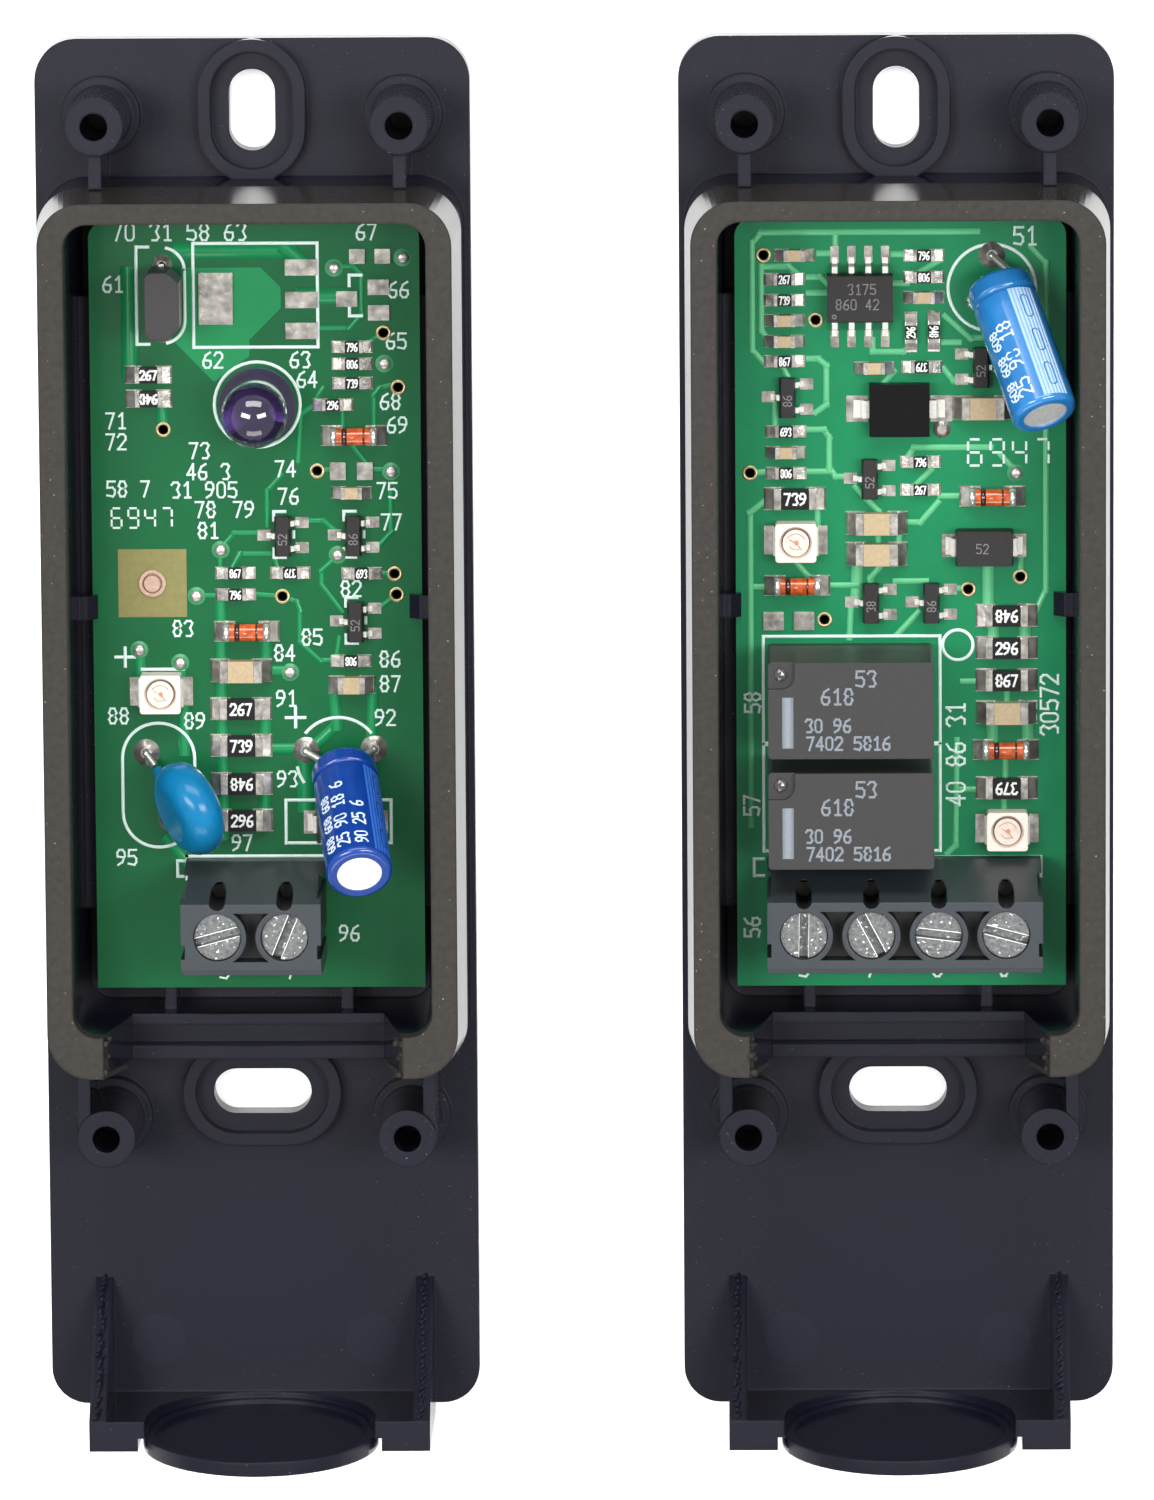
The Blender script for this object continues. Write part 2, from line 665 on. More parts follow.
rx_tracks = [
    [(-10.3, 18.4), (-11.2, 19.4), (-11.2, 27.5), (-10.5, 28.3), (5.8, 28.3)],
    [(-10.2, 20.4), (-10.5, 20.9), (-10.5, 25.7), (-8.4, 25.7), (-7.6, 25.0)],
    [(-6.9, 24.9), (-6.0, 24.9), (-5.4, 24.3)], [(-6.9, 23.7), (-5.2, 23.7)],
    [(-6.1, 26.7), (-5.2, 26.7)], [(-4.9, 28.1), (-4.9, 27.3)], [(-0.5, 26.6), (0.5, 26.6)],
    [(2.9, 26.1), (1.6, 25.3)], [(-0.5, 24.4), (0.5, 24.4)],
    [(-6.9, 18.7), (-6.2, 18.7), (-5.6, 18.2), (-5.6, 15.2), (-6.4, 14.6)], [(-9.5, 15.2), (-9.5, 13.8)],
    [(-8.9, 18.1), (-8.5, 17.3)], [(-2.1, 20.1), (-2.1, 19.2), (0.2, 19.2), (0.9, 19.7)],
    [(3.4, 21.9), (5.3, 20.2), (6.3, 20.2)], [(3.3, 19.9), (4.4, 19.9)],
    [(3.3, 17.9), (4.0, 17.0), (4.6, 17.0)], [(-1.2, 16.9), (-0.5, 17.7)], [(4.1, 15.0), (4.8, 15.0)],
    [(3.3, 14.5), (3.3, 13.8)],
    [(-7.0, 13.3), (-5.8, 13.3), (-5.4, 12.7), (-5.4, 10.4), (-4.9, 9.7), (-4.0, 9.7)],
    [(-10.8, 10.1), (-10.1, 10.1)], [(-7.0, 10.1), (-5.4, 10.1)], [(0.6, 11.3), (1.0, 11.9), (6.8, 11.9)],
    [(7.6, 11.3), (8.7, 10.1)], [(2.3, 10.2), (1.1, 9.0)], [(3.0, 8.2), (4.7, 8.2)],
    [(2.8, 7.7), (1.5, 6.2), (0.6, 6.2)], [(-3.4, 8.9), (-2.7, 8.1), (-1.7, 7.1)],
    [(-10.0, 8.1), (-11.4, 7.0), (-11.4, -17.0)], [(-6.3, 7.3), (-6.3, 6.0)], [(-7.8, 3.0), (-6.9, 2.0)],
    [(-5.3, 1.4), (-3.4, 1.4)], [(-11.4, 1.3), (-10.3, 1.3)], [(-1.5, 2.9), (-2.3, 2.0), (-2.3, 1.4)],
    [(-0.1, 5.2), (-0.2, 4.6)], [(-1.7, 5.2), (-1.7, 4.7)], [(-0.4, 1.7), (1.9, 1.7)],
    [(3.9, 1.2), (4.8, 1.2)], [(9.1, 4.0), (9.0, 2.5)],
    [(9.9, 27.1), (11.0, 25.9), (11.0, 1.0), (10.2, -0.7)], [(-3.8, -0.3), (-3.9, -2.6)],
    [(1.3, -0.7), (-0.3, -2.4)], [(4.7, -6.0), (5.8, -6.0)], [(4.2, -10.5), (4.1, -18.6), (3.5, -19.2)],
    [(8.0, -6.7), (8.0, -7.8)], [(7.9, -12.1), (7.9, -13.6)], [(4.6, -14.3), (6.0, -14.3)],
    [(7.8, -15.1), (7.8, -16.3)],
]
rx_wide_tracks = [
    [(-3.3, 2.9), (-3.4, 0.6)], [(7.0, -1.7), (7.0, -2.7)], [(9.4, -1.7), (9.4, -2.7)],
    [(6.9, -9.4), (6.9, -10.7)], [(9.6, -9.4), (9.6, -10.7)], [(6.6, 3.1), (6.6, -0.4)],
]
hole_ring_r = 0.48
hole_ring_w = 0.22
open_holes = {
    "tx": [(-7.0, 13.5), (9.75, 20.8), (10.83, 16.65), (4.63, 10.3), (1.9, 0.71), (10.43, 2.41),
           (10.58, 0.82)],
    "rx": [(-10.33, 26.58), (-6.4, 21.64), (-11.4, 10.0), (-5.8, -1.23), (5.1, 1.06), (9.05, 2.0)],
}


def keep_off(routes, holes, width):
    """Shortens the tracks that end at an open hole, so that the hole stays open."""
    reach = hole_ring_r + width / 2
    for route in routes:
        for end, before in ((0, 1), (-1, -2)):
            for hole in map(Vector, holes):
                if (Vector(route[end]) - hole).length < reach:
                    route[end] = tuple(hole + (Vector(route[before]) - hole).normalized() * reach)


keep_off(tx_tracks, open_holes["tx"], track_w)
keep_off(tx_wide_tracks, open_holes["tx"], wide_track_w)
keep_off(rx_tracks, open_holes["rx"], rx_track_w)
for unit, name, routes, width, finish in (
    ("tx", "tx_tracks", tx_tracks, track_w, tx_track),
    ("tx", "tx_wide_tracks", tx_wide_tracks, wide_track_w, tx_track),
    ("tx", "tx_broad_tracks", tx_broad_tracks, broad_track_w, tx_track),
    ("rx", "rx_tracks", rx_tracks, rx_track_w, rx_track),
    ("rx", "rx_wide_tracks", rx_wide_tracks, wide_track_w, rx_track),
):
    printed_lines(name, routes, width, track_t, finish, on_board(unit, track_t / 2), "board_laminate")
copper_field_t = 0.016
field("tx_copper_field", tx_field, tx_track, on_board("tx"), copper_field_t, "board_laminate")

# Part outlines in the print: boxes, rings, ovals and corner ticks
outline_w = 0.24
print_t = 0.02


def rounded_box(x, y, width, height, radius):
    """A closed outline with round corners, or an oval where the radius is half the width."""
    corners = [(1, 1, 0), (-1, 1, 90), (-1, -1, 180), (1, -1, 270)]
    route = []
    for sx, sy, start in corners:
        route += ring(x + sx * (width / 2 - radius), y + sy * (height / 2 - radius), radius, start, 90, 10)
    return route + route[:1]


def bars(x, y, width, height):
    """A closed box of straight lines."""
    w, h = width / 2, height / 2
    return [(x - w, y - h), (x + w, y - h), (x + w, y + h), (x - w, y + h), (x - w, y - h)]


def plus(x, y, arm):
    """Two crossed lines."""
    return [[(x - arm, y), (x + arm, y)], [(x, y - arm), (x, y + arm)]]


tx_outlines = [
    bars(0.1, 23.7, 9.4, 7.9), ring(0.15, 15.38, 3.25), rounded_box(-7.66, -13.76, 5.5, 9.55, 2.7),
    bars(6.0, -16.6, 8.0, 3.3), ring(6.05, -11.8, 3.2, 38, 104, 16), ring(6.05, -11.8, 3.2, 190, 25, 10),
    [(-8.0, 27.4), (-8.9, 27.4), (-8.9, 20.0), (-8.0, 20.0)], ring(-7.0, 25.6, 1.75, 0, 80, 12),
    [(-5.25, 25.6), (-5.25, 21.8)], ring(-7.0, 21.8, 1.75, -80, 80, 12),
    [(8.1, 25.2), (7.2, 25.2), (7.2, 24.4)], [(7.2, 22.8), (7.2, 22.1), (8.1, 22.1)],
    [(-5.6, -19.25), (5.0, -19.25)], [(-5.6, -19.6), (-6.3, -19.6), (-6.3, -20.8), (-5.9, -20.8)],
    [(-5.6, -19.25), (-5.6, -21)], [(-8.8, -4.85), (-5.7, -4.85)],
]
tx_outlines += plus(-10.1, -3.9, 0.7) + plus(2.8, -8.6, 0.7)
for x, y in ((2.05, 5.45), (7.38, 5.45), (7.45, -1.15)):
    tx_outlines += [
        [(x + 0.1, y + 1.75), (x - 0.75, y + 1.75), (x - 0.75, y + 1.1)],
        [(x - 0.75, y - 1.1), (x - 0.75, y - 1.75), (x + 0.1, y - 1.75)],
        [(x + 0.75, y - 0.2), (x + 0.75, y + 0.2)],
    ]
rx_outlines = [
    ring(6.9, 24.03, 3.3, steps=48), bars(-3.75, -6.6, 13.4, 8.2), bars(-3.75, -14.9, 13.4, 8.2),
    [(2.5, -19.5), (10.6, -19.5), (10.6, -21)],
    [(-10.5, -19.6), (-11.2, -19.6), (-11.2, -20.9), (-10.5, -20.9)], ring(4.3, -3.2, 1.15),
]
for unit, outlines in (("tx", tx_outlines), ("rx", rx_outlines)):
    printed_lines(unit + "_print_outlines", outlines, outline_w, print_t, board_print,
                  on_board(unit, track_t), "board_laminate")

# Plain numbers in the print, one beside each place for a part
digit_strokes = {
    "0": [[(0.5, 0), (1.5, 0), (2, 0.7), (2, 3.3), (1.5, 4), (0.5, 4), (0, 3.3), (0, 0.7), (0.5, 0)]],
    "1": [[(0.4, 3.2), (1.2, 4), (1.2, 0)], [(0.5, 0), (1.9, 0)]],
    "2": [[(0, 3.3), (0.5, 4), (1.5, 4), (2, 3.4), (2, 2.6), (0, 0), (2, 0)]],
    "3": [[(0, 3.4), (0.5, 4), (1.5, 4), (2, 3.4), (1.4, 2.1), (2, 0.7), (1.5, 0), (0.5, 0)]],
    "4": [[(1.5, 0), (1.5, 4), (0, 1.2), (2, 1.2)]],
    "5": [[(2, 4), (0.1, 4), (0, 2.3), (1.4, 2.4), (2, 1.7), (2, 0.7), (1.5, 0), (0, 0.3)]],
    "6": [[(1.8, 4), (0.7, 3.3), (0, 1.6), (0.1, 0.6), (0.6, 0), (1.5, 0)], [(1.5, 0), (2, 0.7),
          (1.9, 1.8), (0.2, 2)]],
    "7": [[(0, 4), (2, 4), (0.7, 0)]],
    "8": [[(0.5, 2.1), (0, 2.8), (0.5, 4), (1.5, 4), (2, 2.8), (1.5, 2.1)], [(0.5, 2.1), (1.5, 2.1),
          (2, 1.1), (1.5, 0), (0.5, 0), (0, 1.1), (0.5, 2.1)]],
    "9": [[(0.2, 0), (1.3, 0.7), (2, 2.4), (1.9, 3.4), (1.4, 4), (0.5, 4)], [(0.5, 4), (0, 3.3),
          (0.1, 2.2), (1.8, 2)]],
}


digit_pitch = 3


def number_routes(text, x, y, height, turn=0.0, squeeze=1.0):
    """Strokes of a plain number whose lower left corner is at x, y, drawn in along its line by squeeze."""
    unit_size = height / 4
    routes = []
    for index, digit in enumerate(text):
        for stroke in digit_strokes.get(digit, ()):
            route = []
            for u, v in stroke:
                along, up = turned((u + index * digit_pitch) * squeeze * unit_size, v * unit_size, turn)
                route.append((x + along, y + up))
            routes.append(route)
    return routes


segment_places = {
    "a": ((0.45, 4), (1.55, 4)), "b": ((2, 3.5), (2, 2.5)), "c": ((2, 1.5), (2, 0.5)),
    "d": ((0.45, 0), (1.55, 0)), "e": ((0, 1.5), (0, 0.5)), "f": ((0, 3.5), (0, 2.5)),
    "g": ((0.45, 2), (1.55, 2)),
}
digit_segments = {"6": "acdefg", "9": "abcdfg", "4": "bcfg", "7": "abc"}
segment_pitch = 3.4


def segment_routes(text, x, y, height):
    """A number made of separate short bars."""
    unit_size = height / 4
    return [[(x + (u + index * segment_pitch) * unit_size, y + v * unit_size)
             for u, v in segment_places[name]]
            for index, digit in enumerate(text) for name in digit_segments[digit]]


number_h = 1.15
number_w = 0.16
tx_numbers = [
    ("61", -11.4, 24.0), ("62", -3.9, 18.2), ("63", 2.7, 18.2), ("64", 3.2, 16.7), ("65", 10.0, 19.6),
    ("66", 10.2, 23.5), ("67", 7.8, 27.9), ("68", 9.5, 15.0), ("69", 10.0, 13.2), ("71", -11.3, 13.6),
    ("72", -11.3, 12.0), ("73", -5.0, 11.3), ("74", 1.5, 9.9), ("75", 9.2, 8.2), ("76", 1.7, 7.8),
    ("77", 9.5, 5.8), ("78", -4.6, 6.8), ("79", -1.7, 6.8), ("81", -4.4, 5.2), ("82", 6.4, 0.7),
    ("83", -6.4, -2.3), ("84", 1.3, -4.2), ("85", 3.4, -3.0), ("86", 9.3, -4.7), ("87", 9.3, -6.6),
    ("88", -11.4, -9.0), ("89", -5.6, -9.4), ("91", 1.4, -7.7), ("92", 8.9, -9.2), ("93", 1.4, -13.9),
    ("97", -2.1, -18.8), ("95", -10.9, -19.9), ("96", 6.0, -25.8),
]
tx_routes = [r for text, x, y in tx_numbers for r in number_routes(text, x, y, number_h)]
tx_routes += number_routes("70 31 58 63", -10.6, 27.9, 1.25) + number_routes("46 3", -5.2, 9.7, number_h)
tx_routes += number_routes("58 7", -11.3, 8.4, number_h) + number_routes("31 905", -6.4, 8.3, number_h)
tx_routes += segment_routes("6947", -11.0, 6.0, 1.5)
rx_routes = number_routes("51", 8.6, 27.3, 1.3)
rx_routes += segment_routes("6947", 5.1, 10.5, 2.0) + number_routes("58", -10.7, -8.3, number_h, 90)
rx_routes += number_routes("57", -10.8, -16.2, number_h, 90) + number_routes("56", -10.8, -25.6, number_h, 90)
rx_routes += number_routes("40 86 31", 4.8, -15.5, 1.35, 90) + number_routes("30572", 11.9, -10.1, 1.3, 90)
pole_pitch = 5.08
half_digit = 0.3
pole_number_y = -28.7
pole_number_h = 1.2
for unit_routes, first, texts in ((tx_routes, -2.84, "57"), (rx_routes, -7.45, "5768")):
    for order, text in enumerate(texts):
        unit_routes += number_routes(text, first + order * pole_pitch - half_digit, pole_number_y,
                                     pole_number_h)
for unit, routes, stroke in (("tx", tx_routes, number_w), ("rx", rx_routes, number_w * 1.15)):
    printed_lines(unit + "_print_numbers", routes, stroke, print_t, board_print, on_board(unit, track_t),
                  "board_laminate")

# Bare rings round the open holes
hole_ring_t = 0.04
for unit in ("tx", "rx"):
    rings = [ring(x, y, hole_ring_r, steps=24) for x, y in open_holes[unit]]
    printed_lines(unit + "_hole_rings", rings, hole_ring_w, hole_ring_t, bare_ring, on_board(unit, track_t),
                  "solder")

# Solder and lands
# Bright tin-lead: pads under every part, wedges up the chip ends, cones round the wires. The surface
# is lumpy and mirror-like, so it breaks the soft boxes into small glints.
solder = surface("Bright solder", srgb(188, 184, 176), 0.2, metal=0.85, mottle=0.45, grain=0.9, bump=0.5)
tinned = surface("Tinned wire", srgb(200, 198, 192), 0.34, metal=0.85, mottle=0.1, grain=0.2, bump=0.2)
via_dome = surface("Silver dome of a via", srgb(182, 179, 172), 0.3, metal=0.7, mottle=0.25, grain=0.4,
                   bump=0.4)
via_rim = surface("Masked rim of a via", srgb(62, 138, 92), 0.3, mottle=0.08, grain=0.3)
via_height = 0.225 * MM
via_tolerance = 0.01 * MM
via_dome_size = (0.95 * MM, 0.95 * MM, 0.45 * MM)
via_dome_sunk = 0.05 * MM


def is_via(size):
    """Filled vias are the low cones, all of one height."""
    return abs(size.z - via_height) < via_tolerance


for unit in ("tx", "rx"):
    domes = []
    for low, high, faces in solids(unit + "_solder"):
        if is_via(high - low):
            place = (low + high) / 2
            place.z = high.z - via_dome_sunk
            domes.append((place, (0, 0, 0), via_dome_size))
    split_finishes(unit + "_solder", lambda face, centre, size: int(is_via(size)), (solder, via_rim),
                   "solder")
    filled = placed_copies(unit + "_via_domes", lump_form(rough=0.08, seed=7), domes, via_dome, "solder")
    for face in filled.data.polygons:
        face.use_smooth = True
paint(
    tinned, "tx_emitter_leads", "tx_varistor_leads", "tx_capacitor_leads",
    "rx_capacitor_leads", "tx_transistor_leads", "rx_relay_pins", "rx_amplifier_leads", "rx_photodiode_leads",
)


# Chip resistors and capacitors
# Resistors have a black glaze with a plain number over a white body; capacitors are sintered tan
# blocks. Both have wrapped silver ends that the solder wets.
chip_glaze = surface("Black glaze", srgb(20, 19, 20), 0.25, mottle=0.1, grain=0.3, specular=0.3)
ceramic = surface("Sintered ceramic", srgb(164, 144, 112), 0.5, mottle=0.1, grain=0.3, bump=0.2)
chip_end = surface("Chip end", srgb(194, 190, 182), 0.2, metal=0.8, mottle=0.42, grain=0.7, bump=0.4)
chip_number = surface("Chip number", srgb(228, 230, 228), 0.5, mottle=0.04)
paint(chip_glaze, "tx_chip_resistors", "rx_chip_resistors")
paint(ceramic, "tx_chip_capacitors", "rx_chip_capacitors")
end_share = 0.17
capacitor_end_share = 0.2
end_proud = 0.02 * MM
end_softness = 0.06
chip_values = ("796", "908", "267", "739", "948", "296", "867", "379", "693")
wide_chip = 1.2
# Height of the digits as a share of the chip's width, how far they are drawn in, and their stroke
large_digits = (0.51, 0.95, 0.16)
small_digits = (0.68, 0.66, 0.1)
glaze_number_t = 0.015
ink_lift = 0.01 * MM


def block_form(soft):
    """A unit block, its edges broken by a share of its size."""
    shape = bmesh.new()
    bmesh.ops.create_cube(shape, size=1)
    bmesh.ops.bevel(shape, geom=shape.edges[:], offset=soft, segments=2, affect="EDGES", profile=0.5)
    return mesh_of("block_form", shape)


for unit in ("tx", "rx"):
    ends = []
    numbers = {large_digits: [], small_digits: []}
    for kind, share in (("_chip_resistors", end_share), ("_chip_capacitors", capacitor_end_share)):
        for index, (low, high, faces) in enumerate(solids(unit + kind)):
            size = high - low
            centre = (low + high) / 2
            axis = 0 if size.x > size.y else 1
            for side in (-1, 1):
                place = centre.copy()
                place[axis] += side * (size[axis] * (0.5 - share / 2) + end_proud / 2)
                place.z += end_proud / 2
                extent = [size.x + 2 * end_proud, size.y + 2 * end_proud, size.z + end_proud]
                extent[axis] = size[axis] * share + end_proud
                ends.append((place, (0, 0, 0), tuple(extent)))
            if kind == "_chip_resistors":
                width = min(size.x, size.y) / MM
                digits = large_digits if width > wide_chip else small_digits
                height = width * digits[0]
                turn = (0, 90)[axis] + (180 if index % 3 == 1 else 0)
                u, v = turned(-height * digits[1], -height / 2, turn)
                value = chip_values[index % len(chip_values)]
                numbers[digits] += number_routes(value, centre.x / MM + u, centre.y / MM + v, height, turn,
                                                 digits[1])
    placed_copies(unit + "_chip_ends", block_form(end_softness), ends, chip_end, "solder")
    chip_tops = solids(unit + "_chip_resistors")

    def on_chip(x, y, z, tops=chip_tops):
        """A place on the top of the nearest chip."""
        place = Vector((x * MM, y * MM, 0))
        best = min(tops, key=lambda t: ((t[0] + t[1]) / 2 - place).xy.length)
        place.z = best[1].z + z * MM + ink_lift
        return place

    for label, digits in (("_large_chip_numbers", large_digits), ("_small_chip_numbers", small_digits)):
        printed_lines(unit + label, numbers[digits], digits[2], glaze_number_t, chip_number, on_chip,
                      "chip_black")


# Glass diodes
# Orange-red glass tubes with a dark band at one end and a pressed metal cap over each end.
def tube(name, start, end, radius, finish, slot, steps=28):
    """A closed cylinder between two places."""
    shape = bmesh.new()
    turn = (end - start).to_track_quat("Z", "Y").to_matrix().to_4x4()
    bmesh.ops.create_cone(shape, cap_ends=True, segments=steps, radius1=radius, radius2=radius,
                          depth=(end - start).length, matrix=Matrix.Translation((start + end) / 2) @ turn)
    mesh = mesh_of(name, shape)
    mesh.materials.append(finish)
    for face in mesh.polygons:
        face.use_smooth = len(face.vertices) == 4
    new_piece(name, mesh, slot)


diode_glass = surface("Orange glass", srgb(178, 78, 30), 0.1, coat=0.9, mottle=0.45, grain=0.45)
diode_cap = surface("Pressed cap", srgb(222, 218, 212), 0.22, metal=0.75, mottle=0.3, bump=0.6)
diode_band = surface("Dark band", srgb(58, 30, 24), 0.15, coat=0.8)
diode_glint = surface("Seam of the glass", srgb(224, 176, 150), 0.3)
paint(diode_glass, "tx_glass_diodes", "rx_glass_diodes")
glass_share = 0.93
cap_proud = 0.01 * MM
cap_reach = 0.46 * MM
cap_wider = 0.015 * MM
# Each mark's place as a share of the length, half its length in millimetres, and how far it stands out
diode_marks = (
    ("band", -0.2, 0.2, 1.004, diode_band),
    ("stud", 0.22, 0.07, 1.004, diode_band),
    ("seam", -0.03, 0.03, 1.008, diode_glint),
)
for unit in ("tx", "rx"):
    for index, (low, high, faces) in enumerate(solids(unit + "_glass_diodes")):
        centre = (low + high) / 2
        length = high.x - low.x
        radius = (high.z - low.z) / 2
        for side in (-1, 1):
            outer = centre + Vector((side * (length / 2 + cap_proud), 0, 0))
            inner = centre + Vector((side * (length / 2 - cap_reach), 0, 0))
            tube(f"{unit}_diode_cap_{index}{'ab'[side > 0]}", inner, outer, radius + cap_wider, diode_cap,
                 "solder")
        for label, share, half, wider, finish in diode_marks:
            x = centre.x + length * share
            tube(f"{unit}_diode_{label}_{index}", Vector((x - half * MM, centre.y, centre.z)),
                 Vector((x + half * MM, centre.y, centre.z)), radius * glass_share * wider, finish,
                 "diode_glass")


# Moulded semiconductors
# Small transistors, rectifiers, the eight-lead amplifier and the photodiode are dark epoxy bodies; the
# legs that belong to the same solid are tinned, so they get their own finish on a copy of the part.
def two_finishes(node, is_metal, body_finish, metal_finish, slot):
    """Body and legs of one solid, told apart by the place of each face."""
    split_finishes(node, lambda face, centre, size: int(is_metal(face.center - centre, size)),
                   (body_finish, metal_finish), slot)


epoxy = surface("Dark epoxy", srgb(30, 28, 28), 0.5, bump=0.5, grain=0.1, edge=0.06, specular=0.25)
epoxy_print = surface("Faint body print", srgb(112, 110, 108), 0.6)
body_half_w = {"_small_transistors": 0.62 * MM, "_rectifier": 2.2 * MM}
for unit in ("tx", "rx"):
    for kind, half_w in body_half_w.items():
        two_finishes(unit + kind, lambda p, size, half_w=half_w: abs(p.x) > half_w, epoxy, tinned,
                     "component_plastic")
paint(epoxy, "rx_amplifier")
body_numbers = ("52", "86", "52", "38", "86")
body_number_w = 0.08
ink_t = 0.01
half_number = 0.6
for unit in ("tx", "rx"):
    for kind, height in (("_small_transistors", 0.62), ("_rectifier", 0.7)):
        routes = []
        for index, (low, high, faces) in enumerate(solids(unit + kind)):
            centre = (low + high) / 2 / MM
            turn = 90 if kind == "_small_transistors" else 0
            shift = (height / 2, -half_number) if turn else (-half_number, -height / 2)
            routes += number_routes(body_numbers[index], centre.x + shift[0], centre.y + shift[1], height,
                                    turn)
        printed_lines(unit + kind + "_numbers", routes, body_number_w, ink_t, epoxy_print,
                      above(0, 0, high.z + ink_lift), "component_plastic")
photo_black = surface("Daylight filter", srgb(5, 5, 5), 0.35, mottle=0.1, edge=0.08, specular=0.12)
paint(photo_black, "rx_photodiode")


def on_top(node):
    """Places on the top of a CAD node, in millimetres from its middle."""
    low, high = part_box(node)
    return above((low.x + high.x) / 2, (low.y + high.y) / 2, high.z + ink_lift)


amplifier_print = number_routes("3175", -0.9, 0.35, 0.75) + number_routes("860 42", -1.8, -0.8, 0.75)
amplifier_print.append(ring(-1.95, -1.35, 0.14, steps=12))
printed_lines("rx_amplifier_print", amplifier_print, 0.09, ink_t, epoxy_print, on_top("rx_amplifier"),
              "component_plastic")

# Status lamps
# Cream chip lamps: a white cup under clear resin, with the gold-coloured frame and the bonded die in it.
lamp_cream = surface("Cream lamp body", srgb(222, 210, 198), 0.4, mottle=0.04, edge=0.08)
lamp_resin = surface("Cup resin", srgb(216, 200, 188), 0.14, coat=0.4, mottle=0.1, grain=0.6)
lamp_gold = surface("Lamp frame", srgb(176, 160, 148), 0.4, metal=0.2)
lamp_die = surface("Lamp die", srgb(206, 120, 84), 0.4)
lamp_half_w = 1.545 * MM
resin_r = 1.0 * MM
resin_low, resin_high = 0.9 * MM, 0.12 * MM
frame_sunk = 0.1 * MM
frame_w = 0.06
frame_t = 0.03
frame_routes = [ring(0, 0, 0.72, 20, 130, 14), ring(0, 0, 0.5, 200, 110, 12),
                [(-0.45, 0.25), (-0.1, 0.05)], [(0.1, -0.1), (0.45, -0.5)]]
die_size = (0.28 * MM, 0.28 * MM, 0.08 * MM)
die_turn = (0, 0, 0.3)
die_softness = 0.08
for unit, node in (("tx", "tx_status_led"), ("rx", "rx_status_leds")):
    two_finishes(node, lambda p, size: abs(p.x) > lamp_half_w, lamp_cream, tinned, "led_plastic")
    for index, (low, high, faces) in enumerate(solids(node)):
        centre = (low + high) / 2
        tag = f"{unit}_lamp_{index}"
        tube(tag + "_resin", Vector((centre.x, centre.y, high.z - resin_low)),
             Vector((centre.x, centre.y, high.z - resin_high)), resin_r, lamp_resin, "led_plastic", 40)
        in_cup = above(centre.x, centre.y, high.z - frame_sunk)
        printed_lines(tag + "_frame", frame_routes, frame_w, frame_t, lamp_gold, in_cup, "led_plastic")
        placed_copies(tag + "_die", block_form(die_softness),
                      [(in_cup(0.05, 0.05, 0.02), die_turn, die_size)], lamp_die, "led_plastic")

# Infrared emitter
# A violet-black clear dome cast round its two metal posts, which show dimly inside it.
emitter_violet = surface("Violet clear epoxy", srgb(78, 62, 112), 0.03, coat=1.0, clear=0.8, mottle=0.05,
                         grain=2)
emitter_inside = surface("Cast-in post", srgb(120, 110, 130), 0.3, metal=0.9)
paint(emitter_violet, "tx_emitter")
emitter_low, emitter_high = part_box("tx_emitter")
emitter_mid = (emitter_low + emitter_high) / 2
post_off_middle = 0.9 * MM
post_foot = 0.3 * MM
for side, top_share, width in ((-1, 0.5, 1.5), (1, 0.56, 0.8)):
    x = emitter_mid.x + side * post_off_middle
    top = emitter_low.z + (emitter_high.z - emitter_low.z) * top_share
    tube(f"tx_emitter_post_{'ab'[side > 0]}", Vector((x, emitter_mid.y, emitter_low.z + post_foot)),
         Vector((x, emitter_mid.y, top)), width / 2 * MM, emitter_inside, "tinned_metal", 20)

# Varistor
# A zinc-oxide disc dipped in glossy blue lacquer, which runs a little way down its leads.
varistor_coat = surface("Blue dip lacquer", srgb(14, 104, 148), 0.22, coat=0.1, mottle=0.08, grain=1.2,
                        bump=0.25, specular=0.2)
paint(varistor_coat, "tx_varistor")

# Electrolytic capacitors
# Aluminium cans in shrunk sleeves, deep blue on the transmitter and mid blue on the receiver. The
# sleeve has a pale stripe with dashes, plain numbers, and leaves the can's round end bare.
tx_sleeve = surface("Deep blue sleeve", srgb(12, 54, 132), 0.22, coat=0.25, mottle=0.1, grain=2)
rx_sleeve = surface("Mid blue sleeve", srgb(34, 110, 172), 0.2, coat=0.6, mottle=0.1, grain=2)
sleeve_stripe = surface("Pale sleeve stripe", srgb(150, 184, 222), 0.3, coat=0.4, mottle=0.05)
tx_sleeve_stripe = surface("Sleeve stripe", srgb(42, 92, 176), 0.3, coat=0.2, mottle=0.05)
sleeve_print = surface("Sleeve print", srgb(205, 220, 238), 0.4, mottle=0.05)
can_end = surface("Can end", srgb(225, 224, 220), 0.38, metal=0.55, bump=0.5, grain=0.25)
tx_can_end = surface("Bright can end", srgb(246, 245, 240), 0.5, mottle=0.02)
paint(tx_sleeve, "tx_capacitor")
paint(rx_sleeve, "rx_capacitor")
can_r = 2.5
can_l = 11.8
# Tilt and heading in degrees, then the finishes of sleeve, stripe and end, and the slot
can_set = {
    "tx": (56, -77, tx_sleeve, tx_sleeve_stripe, tx_can_end, "capacitor_sleeve_dark"),
    "rx": (34, -70, rx_sleeve, sleeve_stripe, can_end, "capacitor_sleeve_light"),
}


